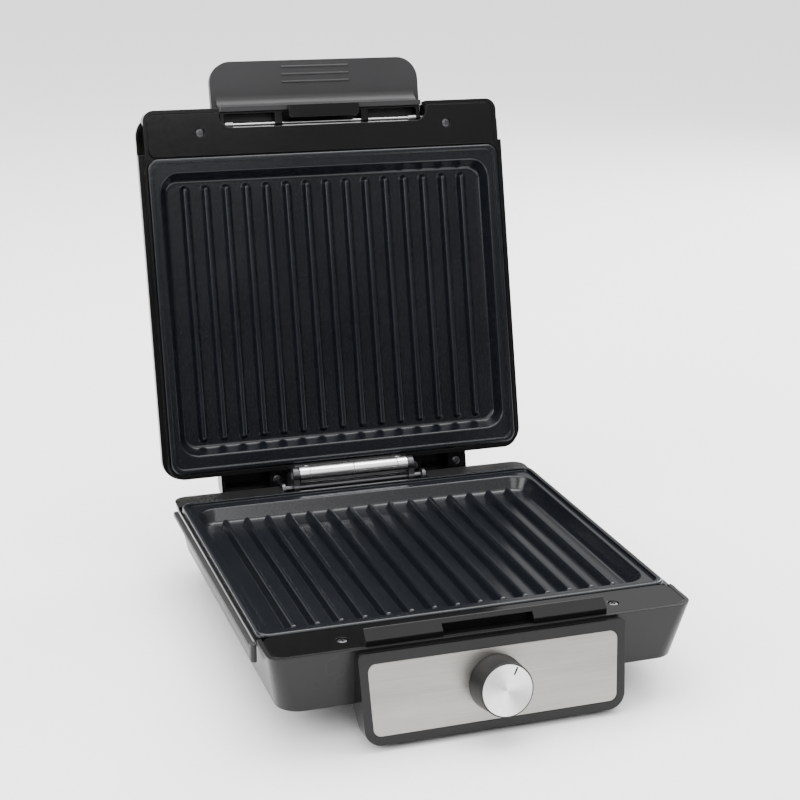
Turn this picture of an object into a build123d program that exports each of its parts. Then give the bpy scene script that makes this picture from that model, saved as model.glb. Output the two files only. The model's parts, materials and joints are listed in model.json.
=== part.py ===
from build123d import *

import math
import os

# Panini press with ribbed plates, open on its stop. Millimetres, +Z up, the knob faces -Y.
# Everything is first placed about the middle of the lower plate's rim, with z = 0 on that rim,
# and last moved so that z = 0 is the counter and the whole press is centred front to back.
# Lid pieces are made shut, on top of the base, and then swung open about the hinge pin.

# Grill plates
PLATE_WIDTH = 298.8
PLATE_DEPTH = 254.3
PLATE_CORNER = 9.0
PLATE_WALL = 2.2
RIM_BEAD = 4.0
RIM_HEIGHT = 6.5
BEAD_DROP = 2.2
SIDE_FLANGE = 5.0
BACK_FLANGE = 10.0
FRONT_FLANGE = 8.0
BASIN_SLOPE = 5.5
BASIN_CORNER = 10.0
BASIN_DEPTH = 13.0
BASIN_COVE = 4.0
MOUTH_ROUND = 1.6
RIB_PITCH = 17.0
RIB_SIDE_GAP = 15.5
RIB_FRONT_GAP = 21.6
RIB_BACK_GAP = 23.7
RIB_WIDTH = 8.0
RIB_HEIGHT = 5.8
RIB_CREST = 2.2
PLATE_BOSS_R = 4.5
PLATE_BOSS_INSET_X = 34.5
PLATE_BOSS_INSET_Y = 22.0

# Base
BASE_SIDE = 2.1
DECK_DEPTH = 36.85
LEDGE_DEPTH = 22.85
BASE_CORNER = 10.0
WALL_HEIGHT = 41.0
WALL_DRAFT_X = 8.0
WALL_DRAFT_Y = 5.0
WALL_CORNER = 16.0
SHELL = 2.4
DECK_DROP = 1.0
DECK_THICK = 2.4
DECK_SEAM = 0.4
DECK_LIP = 3.0
DECK_CORNER = 8.0
LEDGE_DROP = 3.5
BELLY_DEPTH = 16.0
BELLY_INSET = 54.0
BELLY_CORNER = 30.0
FLOOR_GAP = 67.0
RAIL_OVERHANG = 6.1
RAIL_TOP = 6.0
RAIL_HEIGHT = 4.0
RAIL_TAB = 13.0
RAIL_TAB_LENGTH = 6.0
FOOT_R = 9.0
FOOT_FRONT_X = 64.0
FOOT_FRONT_INSET = 42.0
FOOT_SIDE_INSET = 47.5
FOOT_BACK_INSET = 22.0
FOOT_SCREW_R = 1.9

# Latch bar
BAR_CLEAR = 2.0
BAR_AHEAD = 24.35
BAR_CREST = 2.1
BAR_DEPTH = 10.0
BAR_HEIGHT = 9.6
BAR_SLOT_HALF = 32.5
BAR_SLOT_TOP = 6.5
DECK_SCREW_X = 98.0
DECK_SCREW_AHEAD = 19.35
SCREW_HEAD_R = 3.6
SCREW_R = 1.6

# Control panel
PANEL_HALF = 95.0
PANEL_TAPER = 2.6
PANEL_AHEAD = 8.0
PANEL_LEAN = 11.0
PANEL_FOOT_Z = 62.5
PANEL_WALL = 2.6
PANEL_TOP_CORNER = 3.0
PANEL_FOOT_CORNER = 12.0
FASCIA_HALF = 89.0
FASCIA_TOP = 8.0
FASCIA_FOOT = 56.5
FASCIA_THICK = 0.8
FASCIA_CORNER = 5.5
KNOB_Z = 32.0
KNOB_BASE_R = 19.6
KNOB_TOP_R = 18.4
KNOB_HEIGHT = 19.4
KNOB_GAP = 0.6
KNOB_FACE_R = 17.5
KNOB_FACE_THICK = 1.0
KNOB_ANGLE = 27.0
SHAFT_R = 3.0
RUNNING_FIT = 0.05

# Hinge
HINGE_BACK = 19.4
HINGE_DROP = 5.5
LID_OPEN = 104.0
CLOSED_GAP = 0.5
PIN_R = 3.0
NOTCH_HALF = 62.0
PIN_END_GAP = 0.1
NOTCH_FRONT = 0.8
NOTCH_DEPTH = 19.0
TUBE_BACK = 21.5
TUBE_RISE = 5.0
TUBE_R = 6.8
TUBE_WALL = 1.2
TUBE_HALF = 37.5
COLLAR_R = 7.0
COLLAR_LENGTH = 8.5
COLLAR_GAP = 0.3
TIE_R = 3.0
ARM_INSIDE = 47.0
ARM_THICK = 5.0
ARM_SLOT = 1.2
EYE_R = 6.6
BRACKET_THICK = 3.0

# Lid
LID_AHEAD = 38.35
LID_BACK = 4.0
LID_CORNER = 9.0
LID_BACK_CORNER = 16.0
FRAME_HEIGHT = 12.0
LID_DEPTH = 38.0
COVER_INSET = 14.0
COVER_CORNER = 18.0
COVER_WALL = 0.8
RECESS_HALF = 88.0
RECESS_DEPTH = 15.7
RECESS_CORNER = 10.0
SQUARE_CORNER = 1.5
LID_SCREW_X = 105.0
BLOCK_WIDER = 45.0
BLOCK_BACK = 22.0
BLOCK_TOP = 30.0
BLOCK_WALL = 2.4

# Handle
HANDLE_WIDER = 1.5
GRIP_REACH = 39.5
GRIP_LOW = 22.0
GRIP_THICK = 6.0
GRIP_CORNER = 18.0
LIP_AHEAD = 1.5
LIP_THICK = 4.0
LIP_LOW = 6.0
LIP_CLEAR = 2.5
PIN_BOSS_WALL = 1.2
PIN_BOSS_GAP = 0.25
HANDLE_PIN_Z = 12.4
HANDLE_PIN_R = 1.6
HOOK_HALF = 30.0
HOOK_LOW = 1.2
HOOK_THICK = 3.0
HOOK_CLEAR = 2.4
SKIN_GAP = 0.05
RIDGE_HALF = 29.0
RIDGE_PITCH = 6.2

# Heating and electrics
ELEMENT_R = 3.3
ELEMENT_SIDE_INSET = 50.0
ELEMENT_FRONT_INSET = 12.0
ELEMENT_BACK_INSET = 8.0
ELEMENT_BEND = 34.0
GLAND_R = 5.0
REFLECTOR_DROP = 26.0
REFLECTOR_INSET_X = 21.4
REFLECTOR_INSET_Y = 27.15
REFLECTOR_WALL = 0.8
REFLECTOR_RISE = 8.0
THERMOSTAT_R = 16.0
THERMOSTAT_DEPTH = 15.0

# Worked out from the sizes above
half_w = PLATE_WIDTH / 2
seat_drop = RIM_HEIGHT
base_half_width = half_w + BASE_SIDE
rail_half_width = half_w + RAIL_OVERHANG
half_d = PLATE_DEPTH / 2
base_front = half_d + DECK_DEPTH
base_back = half_d + LEDGE_DEPTH
rib_length = PLATE_DEPTH - RIB_BACK_GAP - RIB_FRONT_GAP
floor_width = PLATE_WIDTH - 2 * (RIM_BEAD + SIDE_FLANGE + BASIN_SLOPE)
rib_count = int((floor_width - 2 * RIB_SIDE_GAP) / RIB_PITCH) + 1
reflector_half_x = half_w - REFLECTOR_INSET_X
reflector_half_y = half_d - REFLECTOR_INSET_Y
plate_boss_x = reflector_half_x - PLATE_BOSS_INSET_X
plate_boss_y = reflector_half_y - PLATE_BOSS_INSET_Y
element_half = reflector_half_x - ELEMENT_SIDE_INSET
element_front = reflector_half_y - ELEMENT_FRONT_INSET
element_back = reflector_half_y - ELEMENT_BACK_INSET
foot_front_y = base_front - FOOT_FRONT_INSET
foot_back_x = half_w + BASE_SIDE - FOOT_SIDE_INSET
foot_back_y = base_back - FOOT_BACK_INSET
bar_back = half_d + BAR_AHEAD
bar_ridge = bar_back + BAR_CREST
bar_foot = bar_back + BAR_DEPTH
bar_half = RECESS_HALF - BAR_CLEAR
deck_screw_y = half_d + DECK_SCREW_AHEAD
panel_top_y = base_front + PANEL_AHEAD
panel_foot_y = panel_top_y + PANEL_LEAN
lid_front = half_d + LID_AHEAD
recess_floor = lid_front - RECESS_DEPTH
grip_front = lid_front + GRIP_REACH
lip_front = lid_front + LIP_AHEAD
lip_half = RECESS_HALF - LIP_CLEAR
handle_half = RECESS_HALF + HANDLE_WIDER
handle_pin_y = recess_floor + HANDLE_PIN_R + PIN_BOSS_WALL + PIN_BOSS_GAP
hook_reach = bar_ridge + HOOK_CLEAR
block_half = NOTCH_HALF + BLOCK_WIDER
hinge_y = half_d + HINGE_BACK
hinge_z = -HINGE_DROP
wall_foot_z = -DECK_DROP - WALL_HEIGHT
belly_z = wall_foot_z - BELLY_DEPTH
panel_lean = math.degrees(math.atan2(panel_foot_y - panel_top_y, PANEL_FOOT_Z - DECK_DROP))
plate_floor = -BASIN_DEPTH - PLATE_WALL


def block(x0, x1, y0, y1, z0, z1):
    """A box between two corners."""
    return Pos(x0, y0, z0) * Box(x1 - x0, y1 - y0, z1 - z0, align=(Align.MIN,) * 3)


def post(x, y, z0, z1, radius):
    """An upright cylinder."""
    return Pos(x, y, z0) * Cylinder(radius, z1 - z0, align=(Align.CENTER, Align.CENTER, Align.MIN))


def bar_x(x0, x1, y, z, radius):
    """A cylinder along X."""
    return Pos((x0 + x1) / 2, y, z) * Rot(0, 90, 0) * Cylinder(radius, x1 - x0)


def outline(x_half, y0, y1, z, corner):
    """A level rounded rectangle, centred on X."""
    face = RectangleRounded(2 * x_half, y1 - y0, corner)
    return Pos(0, (y0 + y1) / 2, z) * face


def tray(top, foot):
    """A solid between two level outlines."""
    return loft([top, foot])


def slab(x_half, y0, y1, z0, z1, corner):
    """A level plate with rounded corners."""
    return extrude(outline(x_half, y0, y1, z0, corner), z1 - z0, dir=(0, 0, 1))


def side_profile(points, x_half):
    """A prism along X through points given as (y, z)."""
    face = make_face(Polyline([(0, y, z) for y, z in points], close=True))
    return extrude(face, x_half, both=True, dir=(1, 0, 0))


def mirrored(shape):
    """The same shape on the other side of the machine."""
    return mirror(shape, Plane.YZ)


def swing(y, z, degrees):
    """A point turned about the hinge pin."""
    turn = math.radians(degrees)
    dy, dz = y - hinge_y, z - hinge_z
    return (
        hinge_y + dy * math.cos(turn) - dz * math.sin(turn),
        hinge_z + dy * math.sin(turn) + dz * math.cos(turn),
    )


# ---------------------------------------------------------------- grill plates


def rib():
    """One rib: a trapezoid with a round crest and rounded ends, standing on z = 0."""
    crest_z = RIB_HEIGHT - RIB_CREST
    reach = math.hypot(RIB_WIDTH / 2, crest_z)
    tilt = math.acos(RIB_CREST / reach) - math.atan2(crest_z, RIB_WIDTH / 2)
    touch = (RIB_CREST * math.cos(tilt), crest_z + RIB_CREST * math.sin(tilt))
    top = (
        RIB_CREST * math.cos(math.pi / 4 + tilt / 2), crest_z + RIB_CREST * math.sin(math.pi / 4 + tilt / 2)
    )
    edge = [
        Line((0, 0), (RIB_WIDTH / 2, 0)),
        Line((RIB_WIDTH / 2, 0), touch),
        ThreePointArc(touch, top, (0, RIB_HEIGHT)),
        Line((0, RIB_HEIGHT), (0, 0)),
    ]
    half = Plane.XZ * make_face(Wire(edge))
    straight = rib_length - RIB_WIDTH
    right = extrude(half, straight / 2, both=True, dir=(0, 1, 0))
    end = revolve(half, Axis.Z, 180)
    front = Pos(0, -straight / 2, 0) * Rot(0, 0, 180) * end
    back = Pos(0, straight / 2, 0) * end
    return right + mirror(right, Plane.YZ) + front + back


def grill_plate():
    """The lower plate: a rolled rim, a flange, a sloped basin wall and a ribbed floor."""
    flange_top = -BEAD_DROP
    edge = slab(half_w, -half_d, half_d, -RIM_HEIGHT, 0, PLATE_CORNER)
    edge = fillet(edge.edges().group_by(Axis.Z)[-1], RIM_BEAD * 0.45)
    inner_w = half_w - RIM_BEAD
    inner_d = half_d - RIM_BEAD
    well = slab(inner_w, -inner_d, inner_d, flange_top, 1, PLATE_CORNER - RIM_BEAD * 0.5)
    basin_w = inner_w - SIDE_FLANGE
    basin_front = -inner_d + FRONT_FLANGE
    basin_back = inner_d - BACK_FLANGE
    mouth = outline(basin_w, basin_front, basin_back, flange_top, BASIN_CORNER + BASIN_SLOPE)
    ground = outline(
        basin_w - BASIN_SLOPE,
        basin_front + BASIN_SLOPE,
        basin_back - BASIN_SLOPE,
        -BASIN_DEPTH,
        BASIN_CORNER,
    )
    skin_mouth = outline(
        basin_w + PLATE_WALL,
        basin_front - PLATE_WALL,
        basin_back + PLATE_WALL,
        flange_top,
        BASIN_CORNER + BASIN_SLOPE,
    )
    skin_ground = outline(
        basin_w - BASIN_SLOPE + PLATE_WALL,
        basin_front + BASIN_SLOPE - PLATE_WALL,
        basin_back - BASIN_SLOPE + PLATE_WALL,
        plate_floor,
        BASIN_CORNER,
    )
    under = slab(
        half_w - RIM_BEAD * 0.5,
        -half_d + RIM_BEAD * 0.5,
        half_d - RIM_BEAD * 0.5,
        -RIM_HEIGHT - 1,
        flange_top - PLATE_WALL,
        PLATE_CORNER,
    )
    plate = edge - well - under
    basin = tray(mouth, ground)
    basin = fillet(basin.edges().group_by(Axis.Z)[0], BASIN_COVE)
    plate = plate + tray(skin_mouth, skin_ground) - basin
    lip = [e for e in plate.edges() if abs(e.center().Z - flange_top) < 0.01 and abs(e.center().X) < basin_w + 1]
    lip = [e for e in lip if basin_front - 1 < e.center().Y < basin_back + 1]
    plate = fillet(lip, MOUTH_ROUND)
    rib_y = half_d - RIB_BACK_GAP - rib_length / 2
    one = rib()
    for i in range(rib_count):
        x = (i - (rib_count - 1) / 2) * RIB_PITCH
        plate = plate + Pos(x, rib_y, -BASIN_DEPTH) * one
    for x in (-plate_boss_x, plate_boss_x):
        for y in (-plate_boss_y, plate_boss_y):
            plate = plate + post(
                x, y, -REFLECTOR_DROP + REFLECTOR_WALL + 0.1, plate_floor + 0.5, PLATE_BOSS_R
            )
            plate = plate - post(x, y, -REFLECTOR_DROP, plate_floor, SCREW_R)
    return plate


def reflector():
    """A thin pan that throws the element's heat up at the plate."""
    z0 = -REFLECTOR_DROP
    outer = slab(reflector_half_x, -reflector_half_y, reflector_half_y, z0, z0 + REFLECTOR_RISE, 14)
    inner = slab(
        reflector_half_x - REFLECTOR_WALL,
        -reflector_half_y + REFLECTOR_WALL,
        reflector_half_y - REFLECTOR_WALL,
        z0 + REFLECTOR_WALL,
        z0 + REFLECTOR_RISE,
        14 - REFLECTOR_WALL,
    )
    pan = outer - inner
    for x in (-plate_boss_x, plate_boss_x):
        for y in (-plate_boss_y, plate_boss_y):
            pan = pan - post(x, y, z0 - 1, z0 + REFLECTOR_WALL + 1, SCREW_R + 0.3)
    return pan


def element():
    """A sheathed heating tube bent into a U, its cold ends turned down through the back."""
    z = plate_floor - ELEMENT_R - 0.3
    path = FilletPolyline(
        [
            (-element_half, element_back, z),
            (-element_half, -element_front, z),
            (element_half, -element_front, z),
            (element_half, element_back, z),
        ],
        radius=ELEMENT_BEND,
    )
    start = Plane(origin=path @ 0, z_dir=path % 0)
    return sweep(start * Circle(ELEMENT_R), path=path)


def plate_screws():
    """Four screws from below, through the reflector, into the plate's bosses."""
    group = []
    for x in (-plate_boss_x, plate_boss_x):
        for y in (-plate_boss_y, plate_boss_y):
            head = post(x, y, -REFLECTOR_DROP - 2.0, -REFLECTOR_DROP, SCREW_R + 1.6)
            shank = post(x, y, -REFLECTOR_DROP, plate_floor - 1.0, SCREW_R - RUNNING_FIT)
            group.append(head + shank)
    return group


# ------------------------------------------------------------------------ base


def base_outlines(offset):
    """The base's top and wall-foot outlines, moved inwards by offset."""
    top = outline(
        base_half_width - offset, -base_front + offset, base_back - offset, -DECK_DROP, BASE_CORNER - offset * 0.5
    )
    foot = outline(
        base_half_width - WALL_DRAFT_X - offset,
        -base_front + WALL_DRAFT_Y + offset,
        base_back - WALL_DRAFT_Y + offset * -1.0,
        wall_foot_z,
        WALL_CORNER - offset * 0.5,
    )
    return top, foot


def belly_outlines(offset):
    """The bottom pan's upper and lower outlines."""
    foot = base_outlines(offset)[1]
    low = outline(
        base_half_width - WALL_DRAFT_X - BELLY_INSET,
        -base_front + WALL_DRAFT_Y + BELLY_INSET,
        base_back - WALL_DRAFT_Y - BELLY_INSET * 0.6,
        belly_z + offset,
        BELLY_CORNER,
    )
    return foot, low


def belly(offset):
    """The bottom pan as a solid, offset inwards."""
    return tray(*belly_outlines(offset))


def base_housing():
    """The four walls of the base, the seat under the plate, the back ledge and the hinge notch."""
    body = tray(*base_outlines(0)) - tray(*base_outlines(SHELL))
    seat_y = half_d + 1.0
    body = body - block(-200, 200, -seat_y - 1.2, seat_y, -seat_drop, 5)
    seat = slab(base_half_width - 1.2, -seat_y - 1.2, seat_y, -seat_drop - SHELL, -seat_drop, 4)
    seat = seat - slab(half_w - RIM_BEAD - 4, -half_d + RIM_BEAD + 4, half_d - RIM_BEAD - 6, -20, 0, 8)
    body = body + (seat & tray(*base_outlines(0.6)))
    wall_top = block(
        -base_half_width + 11, base_half_width - 11, seat_y, seat_y + SHELL, -seat_drop - SHELL, -LEDGE_DROP
    )
    ledge = block(-200, 200, seat_y, base_back, -LEDGE_DROP - SHELL, -LEDGE_DROP)
    body = body + ((ledge + wall_top) & tray(*base_outlines(0)))
    body = body - block(-200, 200, seat_y, base_back + 5, -LEDGE_DROP, 5)
    step_y = -seat_y - 1.2
    step = block(
        -base_half_width + 5,
        base_half_width - 5,
        step_y - SHELL,
        step_y,
        -seat_drop - SHELL,
        -DECK_DROP - DECK_THICK,
    )
    body = body + step
    notch_y = half_d + NOTCH_FRONT
    pocket = block(
        -NOTCH_HALF - SHELL,
        NOTCH_HALF + SHELL,
        notch_y - SHELL,
        base_back,
        -NOTCH_DEPTH - SHELL,
        -seat_drop,
    )
    body = body + (pocket & tray(*base_outlines(0)))
    body = body - block(-NOTCH_HALF, NOTCH_HALF, notch_y, base_back + 5, -NOTCH_DEPTH, 5)
    opening_top = -FASCIA_TOP
    body = body - block(-70, 70, -base_front - 5, -base_front + 15, wall_foot_z - 1, opening_top)
    for x in (-DECK_SCREW_X, DECK_SCREW_X):
        boss = post(x, -deck_screw_y, -30, -DECK_DROP - DECK_THICK, 4.5)
        body = body + boss + block(x - 1, x + 1, -base_front + 3.2, -deck_screw_y, -30, -8)
        body = body - post(x, -deck_screw_y, -26, 0, SCREW_R)
    for x, y in cover_screw_places():
        boss = post(x, y, wall_foot_z, -seat_drop - SHELL, 4.5)
        body = body + (boss & tray(*base_outlines(0.4))) - post(
            x, y, wall_foot_z - 1, wall_foot_z + 12, SCREW_R
        )
    body = body - bar_y(gland_x(), base_back - 15, base_back + 5, gland_z(), GLAND_R)
    return body


def gland_x():
    """The cord inlet sits to the left of the hinge, seen from behind."""
    return NOTCH_HALF + 40.0


def gland_z():
    """Half-way up the back wall."""
    return wall_foot_z / 2 - 4.0


def bar_y(x, y0, y1, z, radius):
    """A cylinder along Y."""
    return Pos(x, (y0 + y1) / 2, z) * Rot(90, 0, 0) * Cylinder(radius, y1 - y0)


def cord_gland():
    """A rubber grommet with a flange each side of the back wall, bored for a cord."""
    y_out = base_back - WALL_DRAFT_Y * (-gland_z() - DECK_DROP) / WALL_HEIGHT
    tube = bar_y(gland_x(), y_out - SHELL - 4.0, y_out + 4.0, gland_z(), GLAND_R - 0.1)
    outside = bar_y(gland_x(), y_out + 1.2, y_out + 4.0, gland_z(), GLAND_R + 3.0)
    return tube + outside - bar_y(gland_x(), y_out - 20, y_out + 20, gland_z(), 3.2)


def cover_screw_places():
    """Where the bottom cover is screwed to the housing."""
    x = base_half_width - WALL_DRAFT_X - 12.0
    front = -base_front + WALL_DRAFT_Y + 24.0
    back = base_back - WALL_DRAFT_Y - 14.0
    return [(-x, front), (x, front), (-x, back), (x, back)]


def foot_places():
    """The four feet: the front pair stands closer together, behind the control panel."""
    return [
        (-FOOT_FRONT_X, -foot_front_y),
        (FOOT_FRONT_X, -foot_front_y),
        (-foot_back_x, foot_back_y),
        (foot_back_x, foot_back_y),
    ]


def bottom_cover():
    """The bellied pan that closes the base from below, with vents, and pads for the feet."""
    shell = belly(0) - belly(SHELL)
    rim_in = slab(
        base_half_width - WALL_DRAFT_X - SHELL - 0.3,
        -base_front + WALL_DRAFT_Y + SHELL + 0.3,
        base_back - WALL_DRAFT_Y - SHELL - 0.3,
        wall_foot_z - 3,
        wall_foot_z - 0.05,
        14,
    )
    rim_out = slab(
        base_half_width - WALL_DRAFT_X - 18,
        -base_front + WALL_DRAFT_Y + 30,
        base_back - WALL_DRAFT_Y - 20,
        wall_foot_z - 20,
        wall_foot_z + 1,
        10,
    )
    shelf = (rim_in - rim_out) & belly(0)
    shell = shell + shelf
    for x, y in foot_places():
        pad = post(x, y, belly_z - 2.0, wall_foot_z - 4, FOOT_R + 2.0)
        shell = shell + pad - post(x, y, belly_z - 5, wall_foot_z, FOOT_SCREW_R)
    for x, y in cover_screw_places():
        shell = shell - post(x, y, wall_foot_z - 30, wall_foot_z + 1, SCREW_R + 0.3)
        shell = shell - post(x, y, wall_foot_z - 30, wall_foot_z - 4.0, SCREW_HEAD_R + 0.4)
    for i in range(9):
        x = (i - 4) * 12.0
        shell = shell - block(x - 2, x + 2, 10, 60, belly_z - 5, belly_z + 5)
    return shell


def cover_screws():
    """Four screws up through the bottom cover into the housing's bosses."""
    group = []
    for x, y in cover_screw_places():
        head = post(x, y, wall_foot_z - 6.4, wall_foot_z - 4.0, SCREW_HEAD_R)
        shank = post(x, y, wall_foot_z - 4.0, wall_foot_z + 9, SCREW_R - RUNNING_FIT)
        group.append(head + shank)
    return group


def rubber_feet():
    """Four feet with a hollow for the screw head."""
    group = []
    for x, y in foot_places():
        foot = post(x, y, -FLOOR_GAP, belly_z - 2.0, FOOT_R)
        foot = chamfer(foot.edges().group_by(Axis.Z)[0], 1.0)
        foot = foot - post(
            x, y, -FLOOR_GAP - 1, -FLOOR_GAP + 3.5, FOOT_R * 0.5
        ) - post(x, y, -FLOOR_GAP, belly_z, FOOT_SCREW_R)
        group.append(foot)
    return group


def foot_screws():
    """A screw through each foot into its pad."""
    group = []
    for x, y in foot_places():
        head = post(x, y, -FLOOR_GAP + 1.5, -FLOOR_GAP + 3.5, FOOT_R * 0.42)
        shank = post(x, y, -FLOOR_GAP + 3.5, belly_z + 3.0, FOOT_SCREW_R - RUNNING_FIT)
        group.append(head + shank)
    return group


def base_deck():
    """The glossy insert in front of the lower plate."""
    x_half = base_half_width - DECK_LIP - DECK_SEAM
    y0 = -base_front + DECK_LIP + DECK_SEAM
    y1 = -half_d - 1.2
    plate = slab(x_half, y0, y1, -DECK_DROP - DECK_THICK, -DECK_DROP, DECK_CORNER)
    for x in (-DECK_SCREW_X, DECK_SCREW_X):
        plate = plate - post(x, -deck_screw_y, -10, 5, SCREW_R + 0.2)
        plate = plate - post(x, -deck_screw_y, -DECK_DROP - 1.3, 5, SCREW_HEAD_R + 0.3)
    return plate


def deck_lip():
    """The housing's own edge around the deck insert."""
    y1 = -half_d - 2.2
    outer = tray(*base_outlines(0)) & block(-200, 200, -200, y1, -DECK_DROP - DECK_THICK - SHELL, 0)
    inner = slab(
        base_half_width - DECK_LIP, -base_front + DECK_LIP, y1 + 20, -DECK_DROP - DECK_THICK, 5, DECK_CORNER
    )
    under = slab(base_half_width - 9, -base_front + 9, y1 + 20, -30, 5, 5)
    return outer - inner - under


def base_rail():
    """The right-hand rail beside the lower plate, with a rounded tab at its front end."""
    x0 = base_half_width + 0.05
    y0, y1 = -half_d - 3.5, half_d - 1.0
    rail = block(x0, rail_half_width, y0, y1, -RAIL_TOP - RAIL_HEIGHT, -RAIL_TOP)
    tab = block(x0, rail_half_width, y0, y0 + RAIL_TAB_LENGTH, -RAIL_TOP - RAIL_TAB + 2, -RAIL_TOP + 2)
    rail = rail + tab
    rail = fillet(rail.edges().filter_by(Axis.Z).group_by(Axis.X)[-1].group_by(Axis.Y)[0], 2.4)
    rail = fillet(rail.edges().filter_by(Axis.Z).group_by(Axis.X)[-1].group_by(Axis.Y)[-1], 2.4)
    return rail - tray(*base_outlines(0))


def latch_bar():
    """The raised bar that the handle's hook catches, with a slot in its front."""
    back, ridge, foot = -bar_back, -bar_ridge, -bar_foot
    top = -DECK_DROP + BAR_HEIGHT + 0.6
    bar = side_profile(
        [
            (back, -DECK_DROP),
            (back, top - 1.6),
            (ridge, top),
            (ridge - 1.4, top),
            (foot, 3.0),
            (foot, -DECK_DROP),
        ],
        bar_half,
    )
    ends = bar.edges().filter_by(Axis.Z).group_by(Axis.Y)[-1]
    bar = fillet(ends, 4.0)
    bar = bar - block(
        -BAR_SLOT_HALF, BAR_SLOT_HALF, foot - 5, -bar_ridge - 0.2, -DECK_DROP - 1, BAR_SLOT_TOP
    )
    return bar


def phillips_head(radius, height):
    """A pan-head screw's head with its crossed recess, base on z = 0."""
    head = Cylinder(radius, height, align=(Align.CENTER, Align.CENTER, Align.MIN))
    head = fillet(head.edges().group_by(Axis.Z)[-1], height * 0.45)
    for a in (0, 90):
        head = head - Rot(0, 0, a) * Pos(0, 0, height) * Box(radius * 1.1, radius * 0.26, height * 1.1)
    return head


def deck_screws(x_place):
    """Two screws that hold a deck, heads sunk just under its face."""
    group = []
    for x in (-x_place, x_place):
        head = Pos(x, -deck_screw_y, -DECK_DROP - 1.3) * phillips_head(SCREW_HEAD_R, 1.2)
        shank = post(x, -deck_screw_y, -18, -DECK_DROP - 1.3, SCREW_R - RUNNING_FIT)
        group.append(head + shank)
    return group


# --------------------------------------------------------------- control panel


def panel_plane(down, out):
    """A plane on the leaning panel face: down is the drop below the deck, out is in front."""
    t = (down - DECK_DROP) / (PANEL_FOOT_Z - DECK_DROP)
    y = -panel_top_y - t * (panel_foot_y - panel_top_y)
    lean = math.radians(panel_lean)
    normal = Vector(0, -math.cos(lean), math.sin(lean))
    origin = Vector(0, y, -down) + normal * out
    return Plane(origin=origin, x_dir=(1, 0, 0), z_dir=normal)


def panel_face(top_half, foot_half, top_down, foot_down, corner_top, corner_foot, out):
    """A tapered rounded face in the panel's plane."""
    plane = panel_plane(top_down, out)
    run = (foot_down - top_down) / math.cos(math.radians(panel_lean))
    shape = Polygon((-top_half, 0), (top_half, 0), (foot_half, -run), (-foot_half, -run), align=None)
    top_corners = shape.vertices().group_by(Axis.Y)[-1]
    shape = fillet(top_corners, corner_top)
    foot_corners = shape.vertices().group_by(Axis.Y)[0]
    shape = fillet(foot_corners, corner_foot)
    return plane * shape


def half_at(down, top_half):
    """The panel narrows a little towards its foot."""
    return top_half - PANEL_TAPER * (down - DECK_DROP) / (PANEL_FOOT_Z - DECK_DROP)


def panel_bezel():
    """The box that carries the controls: a leaning face, side walls and an open back."""
    face = panel_face(
        PANEL_HALF,
        half_at(PANEL_FOOT_Z, PANEL_HALF),
        DECK_DROP,
        PANEL_FOOT_Z,
        PANEL_TOP_CORNER,
        PANEL_FOOT_CORNER,
        0,
    )
    inward = panel_plane(DECK_DROP, 0).z_dir * -1
    solid = extrude(face, 40, dir=inward)
    keep = side_profile(
        [
            (-base_front + 8, -DECK_DROP),
            (-panel_top_y - 20, -DECK_DROP),
            (-panel_foot_y - 20, -PANEL_FOOT_Z - 10),
            (-panel_foot_y + 4, -PANEL_FOOT_Z - 1),
            (-base_front + 8, wall_foot_z - 4),
        ],
        120,
    )
    solid = solid & keep
    hollow = panel_face(
        PANEL_HALF - PANEL_WALL,
        half_at(PANEL_FOOT_Z, PANEL_HALF) - PANEL_WALL,
        DECK_DROP + PANEL_WALL,
        PANEL_FOOT_Z - PANEL_WALL,
        2,
        PANEL_FOOT_CORNER - 2,
        -PANEL_WALL,
    )
    inner_keep = side_profile(
        [
            (-base_front + 30, -DECK_DROP - PANEL_WALL),
            (-panel_top_y - 20, -DECK_DROP - PANEL_WALL),
            (-panel_foot_y - 20, -PANEL_FOOT_Z - 10 + PANEL_WALL),
            (-panel_foot_y + 6, -PANEL_FOOT_Z + PANEL_WALL),
            (-base_front + 30, wall_foot_z + 6),
        ],
        120,
    )
    solid = solid - (extrude(hollow, 60, dir=inward) & inner_keep)
    recess = panel_face(
        FASCIA_HALF + 0.1,
        half_at(FASCIA_FOOT, FASCIA_HALF) + 0.1,
        FASCIA_TOP - 0.1,
        FASCIA_FOOT + 0.1,
        FASCIA_CORNER,
        FASCIA_CORNER,
        -FASCIA_THICK,
    )
    solid = solid - extrude(recess, 5, dir=inward * -1)
    solid = solid - panel_plane(KNOB_Z, 0) * Cylinder(SHAFT_R + 2.2, 20)
    hull = tray(*base_outlines(-0.1))
    hull = hull + tray(*[f for f in belly_outlines(0)])
    return solid - hull


def steel_fascia():
    """The brushed plate let into the panel's face."""
    face = panel_face(
        FASCIA_HALF,
        half_at(FASCIA_FOOT, FASCIA_HALF),
        FASCIA_TOP,
        FASCIA_FOOT,
        FASCIA_CORNER,
        FASCIA_CORNER,
        -FASCIA_THICK,
    )
    plate = extrude(face, FASCIA_THICK, dir=panel_plane(KNOB_Z, 0).z_dir)
    return plate - panel_plane(KNOB_Z, 0) * Cylinder(SHAFT_R + 2.0, 20)


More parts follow.
